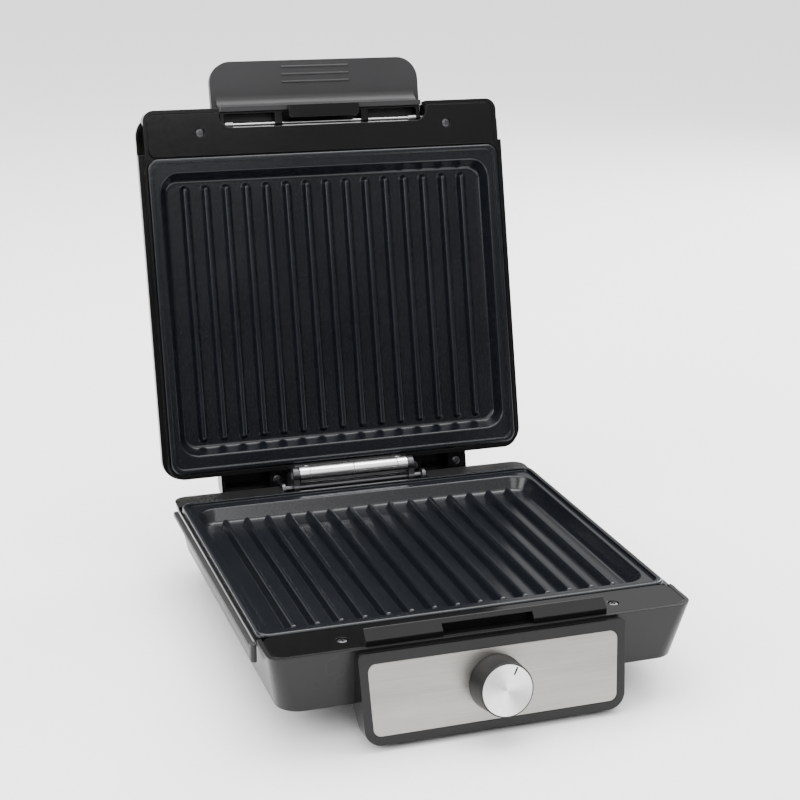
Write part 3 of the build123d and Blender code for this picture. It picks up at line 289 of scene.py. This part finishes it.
def polished_plastic(colours):
    """Polished black plastic with faint swirls and a few dulled patches."""
    material, nodes, links, shader = node_tree("polished_black_plastic")
    vector = object_pattern(nodes, links, (1, 1, 1))
    broad = noise(nodes, links, vector, 22.0, 5.0)
    swirls = noise(nodes, links, object_pattern(nodes, links, (1, 7, 1), (0, 0, 0.6)), 190.0, 3.0)
    tint = blend_colours(nodes, links, broad, colours.gloss, shade(colours.gloss, 1.8))
    links.new(tint, shader.inputs["Base Color"])
    links.new(spread(nodes, links, swirls, 0.10, 0.17), shader.inputs["Roughness"])
    shader.inputs["Specular IOR Level"].default_value = POLISHED_GLOSS
    relief(nodes, links, shader, broad, 0.00002, 0.0005)
    return material


def nonstick_coating(colours):
    """Sprayed non-stick coating: orange peel, pale specks and rubbed high spots."""
    material, nodes, links, shader = node_tree("sprayed_coating")
    vector = object_pattern(nodes, links, (1, 1, 1))
    peel = noise(nodes, links, vector, 950.0, 2.0)
    specks = noise(nodes, links, vector, 2100.0, 1.0)
    rubbed = noise(nodes, links, vector, 16.0, 4.0)
    dots = spread(nodes, links, specks, 0.0, 0.85, start=0.60, end=0.70)
    tint = blend_colours(nodes, links, dots, colours.coating, colours.speck)
    links.new(tint, shader.inputs["Base Color"])
    links.new(spread(nodes, links, rubbed, 0.17, 0.24), shader.inputs["Roughness"])
    shader.inputs["Specular IOR Level"].default_value = COATING_GLOSS
    relief(nodes, links, shader, peel, 0.00005, 0.0012)
    return material


def brushed_steel(colours):
    """Stainless steel brushed along X."""
    material, nodes, links, shader = node_tree("brushed_stainless_steel")
    lines = noise(nodes, links, object_pattern(nodes, links, (22, 3400, 3400)), 1.0, 4.0, 0.7)
    cloud = noise(nodes, links, object_pattern(nodes, links, (9, 60, 60)), 1.0, 3.0)
    tint = blend_colours(nodes, links, lines, shade(colours.steel, 0.66), shade(colours.steel, 1.28))
    links.new(tint, shader.inputs["Base Color"])
    links.new(spread(nodes, links, cloud, 0.28, 0.42), shader.inputs["Roughness"])
    shader.inputs["Metallic"].default_value = 1.0
    shader.inputs["Anisotropic"].default_value = 0.5
    relief(nodes, links, shader, lines, 0.00003, 0.0003)
    return material


def spun_aluminium(colours):
    """The knob's cap: fine turned rings, with a painted highlight of two bright and two dim wedges from the
    centre.
    """
    material, nodes, links, shader = node_tree("turned_aluminium")
    low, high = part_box("knob_face")
    centre = (low + high) / 2
    place = nodes.new("ShaderNodeTexCoord")
    arm = nodes.new("ShaderNodeVectorMath")
    arm.operation = "SUBTRACT"
    arm.inputs[1].default_value = centre
    links.new(place.outputs["Object"], arm.inputs[0])
    radius = nodes.new("ShaderNodeVectorMath")
    radius.operation = "LENGTH"
    links.new(arm.outputs[0], radius.inputs[0])
    rings = nodes.new("ShaderNodeTexNoise")
    rings.noise_dimensions = "1D"
    rings.inputs["Scale"].default_value = 5200.0
    rings.inputs["Detail"].default_value = 3.0
    links.new(radius.outputs["Value"], rings.inputs["W"])
    around = nodes.new("ShaderNodeVectorMath")
    around.operation = "CROSS_PRODUCT"
    around.inputs[0].default_value = KNOB_AXIS
    links.new(arm.outputs[0], around.inputs[1])
    world = nodes.new("ShaderNodeVectorTransform")
    world.vector_type = "VECTOR"
    world.convert_from = "OBJECT"
    world.convert_to = "WORLD"
    links.new(around.outputs[0], world.inputs[0])
    links.new(world.outputs[0], shader.inputs["Tangent"])
    grooves = rings.outputs["Fac"]
    # Painted highlight: by angle around the cap, the colour is lighter in two wedges and darker in the two between
    # them, in place of lit streaks.
    parts = nodes.new("ShaderNodeSeparateXYZ")
    links.new(arm.outputs[0], parts.inputs[0])
    angle = nodes.new("ShaderNodeMath")
    angle.operation = "ARCTAN2"
    links.new(parts.outputs["Z"], angle.inputs[0])
    links.new(parts.outputs["X"], angle.inputs[1])
    double = nodes.new("ShaderNodeMath")
    double.operation = "MULTIPLY_ADD"
    double.inputs[1].default_value = 2.0
    double.inputs[2].default_value = PAINTED_SHEEN_TURN
    links.new(angle.outputs[0], double.inputs[0])
    painted_wedges = nodes.new("ShaderNodeMath")
    painted_wedges.operation = "COSINE"
    links.new(double.outputs[0], painted_wedges.inputs[0])
    painted_sheen = spread(nodes, links, painted_wedges.outputs[0], 0.0, 1.0, start=-0.9, end=0.8)
    # The painted highlight and shade wedges are mixed into the cap's base colour.
    tint = blend_colours(nodes, links, painted_sheen, shade(colours.aluminium, PAINTED_SHADE_DIM), colours.aluminium)
    links.new(tint, shader.inputs["Base Color"])
    links.new(spread(nodes, links, grooves, 0.26, 0.36), shader.inputs["Roughness"])
    shader.inputs["Metallic"].default_value = 1.0
    shader.inputs["Anisotropic"].default_value = 0.85
    relief(nodes, links, shader, grooves, 0.000012)
    return material


def plated_metal(name, colour, rough, depth):
    """Plated steel with wiped patches and hairline marks."""
    material, nodes, links, shader = node_tree(name)
    vector = object_pattern(nodes, links, (1, 1, 1))
    broad = noise(nodes, links, vector, 60.0, 4.0)
    hair = noise(nodes, links, object_pattern(nodes, links, (260, 2600, 2600)), 1.0, 2.0)
    tint = blend_colours(nodes, links, broad, shade(colour, 0.85), colour)
    links.new(tint, shader.inputs["Base Color"])
    links.new(spread(nodes, links, broad, rough * 0.8, rough * 1.3), shader.inputs["Roughness"])
    shader.inputs["Metallic"].default_value = 1.0
    relief(nodes, links, shader, hair, depth, 0.0003)
    return material


def press_materials():
    """Every finish by name, made once."""
    colours = bpy.context.scene.press_colours
    if "satin_grey_plastic" in bpy.data.materials:
        return bpy.data.materials
    nonstick_coating(colours)
    polished_plastic(colours)
    brushed_steel(colours)
    spun_aluminium(colours)
    moulded_plastic("satin_grey_plastic", colours.shell, 0.30, 1500.0, 0.00003, 0.0007)
    moulded_plastic("handle_plastic", colours.grip, 0.36, 1700.0, 0.00004, 0.0006)
    moulded_plastic("knob_plastic", (0.012, 0.012, 0.012), 0.30, 1700.0, 0.00003, 0.0005)
    moulded_plastic("rail_plastic", (0.02, 0.02, 0.02), 0.48, 1300.0, 0.00008, 0.0005)
    moulded_plastic("black_rubber", (0.014, 0.014, 0.014), 0.72, 900.0, 0.00008, 0.0006)
    moulded_plastic("white_ceramic", (0.70, 0.68, 0.62), 0.6, 1100.0, 0.00006, 0.0004)
    plated_metal("bright_chrome", (0.80, 0.80, 0.81), 0.10, 0.000004)
    plated_metal("zinc_plate", (0.52, 0.52, 0.53), 0.33, 0.00001)
    plated_metal("dark_screw_steel", (0.085, 0.085, 0.09), 0.34, 0.00001)
    plated_metal("sheathed_steel", (0.20, 0.19, 0.185), 0.42, 0.00002)
    return bpy.data.materials


# ---------------------------------------------------------------------- meshes


def add_piece(name, mesh, material):
    """A new object at the origin with one material."""
    obj = bpy.data.objects.new(name, mesh)
    bpy.context.scene.collection.objects.link(obj)
    mesh.materials.clear()
    mesh.materials.append(press_materials()[material])
    return obj


def finish_piece(obj, *nodes):
    """The piece rides on its node's body and stands for the nodes."""
    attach(obj, BODY_OF[nodes[0]])
    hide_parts(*nodes)


def eased(node, width, material, segments=2):
    """A piece like the CAD node with its sharp edges rolled over by width."""
    mesh = bpy.data.meshes.new("eased_" + node)
    bm = bmesh.new()
    bm.from_mesh(frame["nodes"][node].data)
    bmesh.ops.remove_doubles(bm, verts=bm.verts, dist=MERGE)
    bmesh.ops.dissolve_limit(bm, angle_limit=FLAT, verts=bm.verts, edges=bm.edges)
    bm.to_mesh(mesh)
    bm.free()
    mesh.shade_smooth()
    mesh.set_sharp_from_angle(angle=SHARP)
    obj = add_piece("eased_" + node, mesh, material)
    if width:
        roll = obj.modifiers.new("rolled edges", "BEVEL")
        roll.width = width
        roll.segments = segments
        roll.limit_method = "ANGLE"
        roll.angle_limit = SHARP
        roll.use_clamp_overlap = True
    level = obj.modifiers.new("flat faces stay flat", "WEIGHTED_NORMAL")
    level.weight = 100
    level.keep_sharp = True
    finish_piece(obj, node)
    return obj


# ---------------------------------------------------------------------- screws


def screw_head(sizes):
    """One pan head with a crossed recess, its seat on z = 0, as a pattern object."""
    bm = bmesh.new()
    radius, height = sizes.screw_head, sizes.screw_head * HEAD_HEIGHT
    profile = [Vector((HEAD_TIP, 0, 0))]
    profile += [Vector((radius, 0, 0)), Vector((radius, 0, height * HEAD_RIM))]
    for step in range(1, DOME_STEPS + 1):
        angle = step / DOME_STEPS * math.pi / 2
        rise = HEAD_RIM + (1 - HEAD_RIM) * math.sin(angle)
        profile.append(Vector((radius * math.cos(angle * HEAD_DOME), 0, height * rise)))
    verts = [bm.verts.new(point) for point in profile]
    for first, second in zip(verts, verts[1:]):
        bm.edges.new((first, second))
    outline = bm.verts[:] + bm.edges[:]
    centre, up = (0, 0, 0), (0, 0, 1)
    bmesh.ops.spin(bm, geom=outline, axis=up, cent=centre, steps=HEAD_STEPS, angle=math.tau)
    bmesh.ops.remove_doubles(bm, verts=bm.verts, dist=MERGE * 5)
    bmesh.ops.holes_fill(bm, edges=bm.edges, sides=HEAD_STEPS * 2)
    bmesh.ops.recalc_face_normals(bm, faces=bm.faces)
    mesh = bpy.data.meshes.new("screw_head_pattern")
    bm.to_mesh(mesh)
    bm.free()
    head = bpy.data.objects.new("screw_head_pattern", mesh)
    bpy.context.scene.collection.objects.link(head)
    cutter_mesh = bpy.data.meshes.new("screw_cross")
    cross = bmesh.new()
    for angle in (0, math.pi / 2):
        spin = Matrix.Rotation(angle, 4, "Z") @ Matrix.Translation((0, 0, height))
        bar = spin @ Matrix.Diagonal((sizes.cross, sizes.cross * CROSS_WIDTH, height * CROSS_DEPTH, 1))
        bmesh.ops.create_cube(cross, size=1.0, matrix=bar)
    cross.to_mesh(cutter_mesh)
    cross.free()
    cutter = bpy.data.objects.new("screw_cross", cutter_mesh)
    bpy.context.scene.collection.objects.link(cutter)
    cut = head.modifiers.new("crossed recess", "BOOLEAN")
    cut.object = cutter
    cut.operation = "DIFFERENCE"
    cut.solver = "EXACT"
    cut.use_self = True
    bpy.context.view_layer.update()
    done = bpy.data.meshes.new_from_object(head.evaluated_get(bpy.context.evaluated_depsgraph_get()))
    head.modifiers.clear()
    head.data = done
    bpy.data.objects.remove(cutter)
    done.shade_smooth()
    done.set_sharp_from_angle(angle=SHARP)
    return head


def screw_tree():
    """Geometry Nodes: a screw head on every point, turned to a facing, realised and given a finish."""
    tree = bpy.data.node_groups.new("Screw heads", "GeometryNodeTree")
    tree.interface.new_socket("Geometry", in_out="INPUT", socket_type="NodeSocketGeometry")
    head = tree.interface.new_socket("Head", in_out="INPUT", socket_type="NodeSocketObject")
    facing = tree.interface.new_socket("Facing", in_out="INPUT", socket_type="NodeSocketVector")
    finish = tree.interface.new_socket("Finish", in_out="INPUT", socket_type="NodeSocketMaterial")
    tree.interface.new_socket("Geometry", in_out="OUTPUT", socket_type="NodeSocketGeometry")
    nodes, links = tree.nodes, tree.links
    start = nodes.new("NodeGroupInput")
    end = nodes.new("NodeGroupOutput")
    info = nodes.new("GeometryNodeObjectInfo")
    points = nodes.new("GeometryNodeMeshToPoints")
    place = nodes.new("GeometryNodeInstanceOnPoints")
    align = nodes.new("FunctionNodeAlignRotationToVector")
    align.axis = "Z"
    spin = nodes.new("FunctionNodeRotateRotation")
    spin.rotation_space = "LOCAL"
    twist = nodes.new("FunctionNodeRandomValue")
    twist.data_type = "FLOAT_VECTOR"
    twist.inputs["Min"].default_value = (0, 0, 0)
    twist.inputs["Max"].default_value = (0, 0, math.pi / 2)
    twist.inputs["Seed"].default_value = TWIST_SEED
    turn = nodes.new("FunctionNodeEulerToRotation")
    realize = nodes.new("GeometryNodeRealizeInstances")
    paint = nodes.new("GeometryNodeSetMaterial")
    links.new(start.outputs["Geometry"], points.inputs["Mesh"])
    links.new(start.outputs["Head"], info.inputs["Object"])
    links.new(start.outputs["Facing"], align.inputs["Vector"])
    links.new(twist.outputs["Value"], turn.inputs[0])
    links.new(align.outputs[0], spin.inputs[0])
    links.new(turn.outputs[0], spin.inputs[1])
    links.new(points.outputs[0], place.inputs["Points"])
    links.new(info.outputs["Geometry"], place.inputs["Instance"])
    links.new(spin.outputs[0], place.inputs["Rotation"])
    links.new(place.outputs[0], realize.inputs[0])
    links.new(realize.outputs[0], paint.inputs["Geometry"])
    links.new(start.outputs["Finish"], paint.inputs["Material"])
    links.new(paint.outputs[0], end.inputs[0])
    return tree, head.identifier, facing.identifier, finish.identifier


def solid_centres(node, facing):
    """The top centre of each separate solid in a node, along facing."""
    bm = bmesh.new()
    bm.from_mesh(frame["nodes"][node].data)
    bmesh.ops.remove_doubles(bm, verts=bm.verts, dist=MERGE)
    left = set(bm.verts)
    centres = []
    while left:
        stack = [left.pop()]
        island = list(stack)
        while stack:
            for edge in stack.pop().link_edges:
                for vert in edge.verts:
                    if vert in left:
                        left.discard(vert)
                        island.append(vert)
                        stack.append(vert)
        top = max(vert.co.dot(facing) for vert in island)
        middle = sum((vert.co for vert in island), Vector()) / len(island)
        centres.append(middle + facing * (top - middle.dot(facing)))
    bm.free()
    return centres


def screw_row(node, facing, material):
    """Crossed heads that stand for the plain screws of a node."""
    sizes = bpy.context.scene.press_sizes
    head = bpy.data.objects.get("screw_head_pattern") or screw_head(sizes)
    tree, head_id, facing_id, finish_id = screw_tree()
    height = max(vert.co.z for vert in head.data.vertices)
    mesh = bpy.data.meshes.new(node + "_places")
    mesh.from_pydata([point - facing * height for point in solid_centres(node, facing)], [], [])
    places = bpy.data.objects.new(node + "_places", mesh)
    bpy.context.scene.collection.objects.link(places)
    scatter = places.modifiers.new("screw heads", "NODES")
    scatter.node_group = tree
    scatter[head_id] = head
    scatter[facing_id] = facing
    scatter[finish_id] = press_materials()[material]
    bpy.context.view_layer.update()
    done = bpy.data.meshes.new_from_object(places.evaluated_get(bpy.context.evaluated_depsgraph_get()))
    bpy.data.objects.remove(places)
    done.set_sharp_from_angle(angle=SHARP)
    obj = add_piece(node + "_heads", done, material)
    finish_piece(obj, node)
    return obj


# ------------------------------------------------------------------- operators


class PRESS_OT_base(bpy.types.Operator):
    """Finish the base's shells, rails, feet and gland"""

    bl_idname = "press.base"
    bl_label = "Base"

    def execute(self, context):
        sizes = context.scene.press_sizes
        eased("base_housing", sizes.edge, "satin_grey_plastic")
        eased("bottom_cover", 0, "satin_grey_plastic")
        eased("base_deck", sizes.fine_edge, "polished_black_plastic")
        eased("latch_bar", sizes.edge, "polished_black_plastic", 3)
        for side in ("left", "right"):
            eased("base_rail_" + side, sizes.edge, "rail_plastic")
        eased("rubber_feet", sizes.edge, "black_rubber")
        eased("cord_gland", sizes.fine_edge, "black_rubber")
        return {"FINISHED"}


class PRESS_OT_plates(bpy.types.Operator):
    """Finish the two ribbed plates and what heats them"""

    bl_idname = "press.plates"
    bl_label = "Plates"

    def execute(self, context):
        sizes = context.scene.press_sizes
        for level in ("lower", "upper"):
            eased(level + "_grill_plate", sizes.fine_edge, "sprayed_coating")
            eased(level + "_heating_element", 0, "sheathed_steel")
            eased(level + "_reflector", 0, "zinc_plate")
        return {"FINISHED"}


class PRESS_OT_panel(bpy.types.Operator):
    """Finish the control panel and the thermostat behind it"""

    bl_idname = "press.panel"
    bl_label = "Control panel"

    def execute(self, context):
        sizes = context.scene.press_sizes
        eased("panel_bezel", sizes.edge, "polished_black_plastic", 3)
        eased("steel_fascia", sizes.fine_edge, "brushed_stainless_steel")
        eased("thermostat_body", sizes.fine_edge, "satin_grey_plastic")
        eased("terminal_block", sizes.fine_edge, "white_ceramic")
        eased("thermal_fuse", 0, "zinc_plate")
        return {"FINISHED"}


class PRESS_OT_knob(bpy.types.Operator):
    """Finish the knob, its cap, pointer and spindle"""

    bl_idname = "press.knob"
    bl_label = "Knob"

    def execute(self, context):
        sizes = context.scene.press_sizes
        eased("knob_body", sizes.fine_edge, "knob_plastic")
        eased("knob_face", CAP_EDGE, "turned_aluminium")
        eased("knob_pointer", 0, "polished_black_plastic")
        eased("thermostat_shaft", 0, "zinc_plate")
        return {"FINISHED"}


class PRESS_OT_hinge(bpy.types.Operator):
    """Finish the hinge: pin, brackets, arms, tube, collars and block"""

    bl_idname = "press.hinge"
    bl_label = "Hinge"

    def execute(self, context):
        sizes = context.scene.press_sizes
        for side in ("left", "right"):
            eased("hinge_tube_" + side, sizes.fine_edge, "bright_chrome", 3)
            eased("hinge_collar_" + side, sizes.fine_edge, "bright_chrome")
            eased("hinge_arm_" + side, sizes.fine_edge, "dark_screw_steel")
            eased("hinge_bracket_" + side, sizes.fine_edge, "dark_screw_steel")
        eased("hinge_pin", sizes.fine_edge, "dark_screw_steel")
        eased("hinge_tie_rod", 0, "zinc_plate")
        eased("hinge_block", sizes.edge, "polished_black_plastic")
        return {"FINISHED"}


class PRESS_OT_lid(bpy.types.Operator):
    """Finish the lid's frame, deck and cover"""

    bl_idname = "press.lid"
    bl_label = "Lid"

    def execute(self, context):
        sizes = context.scene.press_sizes
        eased("lid_frame", sizes.edge, "polished_black_plastic")
        eased("lid_deck", sizes.fine_edge, "polished_black_plastic")
        eased("lid_cover", sizes.fine_edge, "brushed_stainless_steel")
        return {"FINISHED"}


class PRESS_OT_handle(bpy.types.Operator):
    """Finish the handle, its hook, pin and springs"""

    bl_idname = "press.handle"
    bl_label = "Handle"

    def execute(self, context):
        sizes = context.scene.press_sizes
        eased("handle", sizes.edge, "handle_plastic", 3)
        eased("latch_hook", sizes.fine_edge, "polished_black_plastic")
        eased("handle_pin", sizes.fine_edge, "bright_chrome")
        for side in ("left", "right"):
            eased("handle_spring_" + side, sizes.fine_edge, "zinc_plate")
        return {"FINISHED"}


class PRESS_OT_screws(bpy.types.Operator):
    """Put crossed pan heads on the deck, block, cover and foot screws, and finish the plate screws as they are"""

    bl_idname = "press.screws"
    bl_label = "Screws"

    def execute(self, context):
        up = Vector((0, 0, 1))
        lid_inside = Matrix.Rotation(-LID_ANGLE, 3, "X") @ Vector((0, 0, -1))
        screw_row("base_deck_screws", up, "dark_screw_steel")
        screw_row("lid_deck_screws", lid_inside, "dark_screw_steel")
        screw_row("hinge_block_screws", lid_inside, "dark_screw_steel")
        screw_row("bottom_cover_screws", -up, "zinc_plate")
        screw_row("foot_screws", -up, "zinc_plate")
        for node in ("lower_plate_screws", "upper_plate_screws"):
            eased(node, 0, "zinc_plate")
        bpy.data.objects.remove(bpy.data.objects["screw_head_pattern"])
        return {"FINISHED"}


# ----------------------------------------------------------------------- stage


def studio_light(name, place, size, watts):
    """A soft rectangular light at place that faces the press."""
    data = bpy.data.lights.new(name, "AREA")
    data.shape = "RECTANGLE"
    data.size, data.size_y = size
    data.energy = watts
    lamp = bpy.data.objects.new(name, data)
    bpy.context.scene.collection.objects.link(lamp)
    lamp.location = place
    lamp.rotation_euler = (LAMP_AIM - Vector(place)).to_track_quat("-Z", "Y").to_euler()


def studio_sky():
    """A pale dome: bright overhead and dimmer near the horizon."""
    world = bpy.data.worlds.new("studio")
    bpy.context.scene.world = world
    world.use_nodes = True
    nodes, links = world.node_tree.nodes, world.node_tree.links
    sky = nodes["Background"]
    place = nodes.new("ShaderNodeTexCoord")
    parts = nodes.new("ShaderNodeSeparateXYZ")
    links.new(place.outputs["Generated"], parts.inputs[0])
    level = spread(nodes, links, parts.outputs["Z"], SKY_LOW, SKY_HIGH, SKY_START, SKY_END)
    links.new(level, sky.inputs["Strength"])
    sky.inputs["Color"].default_value = (1, 1, 1, 1)


def press_camera():
    """The camera, in front, above and to the left, level but for a slight roll."""
    low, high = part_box("lower_grill_plate")
    target = Vector((CAMERA_AIM_X, (low.y + high.y) / 2, CAMERA_AIM_RISE + high.z))
    right = (-CAMERA_BACK).cross(Vector((0, 0, 1))).normalized()
    up = right.cross(-CAMERA_BACK)
    side = right * math.cos(CAMERA_ROLL) + up * math.sin(CAMERA_ROLL)
    top = up * math.cos(CAMERA_ROLL) - right * math.sin(CAMERA_ROLL)
    data = bpy.data.cameras.new("studio_camera")
    data.lens = CAMERA_LENS
    data.sensor_width = CAMERA_SENSOR
    camera = bpy.data.objects.new("studio_camera", data)
    bpy.context.scene.collection.objects.link(camera)
    turn = Matrix((side, top, CAMERA_BACK)).transposed().to_4x4()
    camera.matrix_world = Matrix.Translation(target + CAMERA_BACK * CAMERA_DISTANCE) @ turn
    bpy.context.scene.camera = camera


class PRESS_OT_stage(bpy.types.Operator):
    """Lay the pale floor, hang the lights and place the camera"""

    bl_idname = "press.stage"
    bl_label = "Stage"

    def execute(self, context):
        colours = context.scene.press_colours
        bm = bmesh.new()
        bmesh.ops.create_circle(bm, cap_ends=True, segments=FLOOR_SIDES, radius=FLOOR_RADIUS)
        mesh = bpy.data.meshes.new("studio_floor")
        bm.to_mesh(mesh)
        bm.free()
        material, nodes, links, shader = node_tree("pale_floor")
        cloud = noise(nodes, links, object_pattern(nodes, links, (1, 1, 1)), 2.0, 2.0)
        tint = blend_colours(nodes, links, cloud, shade(colours.floor, 0.99), colours.floor)
        links.new(tint, shader.inputs["Base Color"])
        shader.inputs["Roughness"].default_value = 0.9
        floor = bpy.data.objects.new("studio_floor", mesh)
        mesh.materials.append(material)
        bpy.context.scene.collection.objects.link(floor)
        studio_sky()
        for lamp in LAMPS:
            studio_light(*lamp)
        press_camera()
        return {"FINISHED"}


class PRESS_PT_panel(bpy.types.Panel):
    """Sizes, colours and steps of the panini press"""

    bl_idname = "PRESS_PT_panel"
    bl_label = "Panini press"
    bl_space_type = "VIEW_3D"
    bl_region_type = "UI"
    bl_category = "Panini press"

    def draw(self, context):
        for group in (context.scene.press_colours, context.scene.press_sizes):
            box = self.layout.box()
            for name in group.__annotations__:
                box.prop(group, name)
        for step in STEPS:
            self.layout.operator(step.bl_idname)


STEPS = (
    PRESS_OT_base,
    PRESS_OT_plates,
    PRESS_OT_panel,
    PRESS_OT_knob,
    PRESS_OT_hinge,
    PRESS_OT_lid,
    PRESS_OT_handle,
    PRESS_OT_screws,
    PRESS_OT_stage,
)
CLASSES = (PressColours, PressSizes, *STEPS, PRESS_PT_panel)


def register():
    """Registers the classes and their settings."""
    for cls in CLASSES:
        bpy.utils.register_class(cls)
    bpy.types.Scene.press_colours = bpy.props.PointerProperty(type=PressColours)
    bpy.types.Scene.press_sizes = bpy.props.PointerProperty(type=PressSizes)


def unregister():
    """Removes the settings and the classes."""
    del bpy.types.Scene.press_sizes
    del bpy.types.Scene.press_colours
    for cls in reversed(CLASSES):
        bpy.utils.unregister_class(cls)


def main():
    """Builds every piece in order."""
    register()
    for step in STEPS:
        group, name = step.bl_idname.split(".")
        getattr(getattr(bpy.ops, group), name)()
    bpy.context.view_layer.update()


if __name__ == "__main__":
    main()
